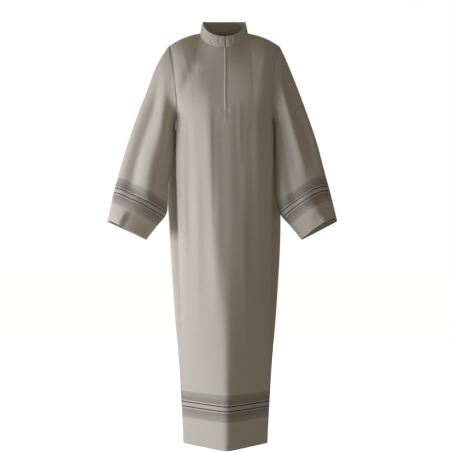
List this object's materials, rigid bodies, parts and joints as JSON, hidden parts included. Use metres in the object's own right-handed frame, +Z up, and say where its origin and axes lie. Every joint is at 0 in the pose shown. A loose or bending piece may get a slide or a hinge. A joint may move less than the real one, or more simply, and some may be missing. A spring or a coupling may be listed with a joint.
{
  "type": "alb robe",
  "caption": "Full-length cream alb, hollow as worn, with a stand collar, covered front opening, wide sleeves and woven striped bands at cuffs and hem",
  "frame": {"origin": "middle of the neck's base, level with the inner ends of the shoulder seams, where the wearer's shoulders carry the robe", "axes": "+Z up, the front faces -Y, +X is the wearer's left"},
  "size_m": [0.827, 0.3078, 1.5434],
  "materials": {
    "front": "matt woven wool and polyester cloth, cream, with a woven band of grey, cream and dark stripes above the hem",
    "back": "matt woven cloth, cream, with the same striped band above the hem",
    "sleeve_right": "matt woven cloth, cream, with the same striped band above the cuff",
    "sleeve_left": "matt woven cloth, cream, with the same striped band above the cuff",
    "collar": "matt woven cloth, cream, doubled and stiffened",
    "collar_tab": "matt woven cloth, cream, doubled",
    "fly": "matt woven cloth, cream, folded edge"
  },
  "bodies": {
    "root": {"front": "front", "back": "back", "sleeve_right": "sleeve_right", "sleeve_left": "sleeve_left", "collar": "collar", "collar_tab": "collar_tab", "fly": "fly"}
  },
  "joints": []
}
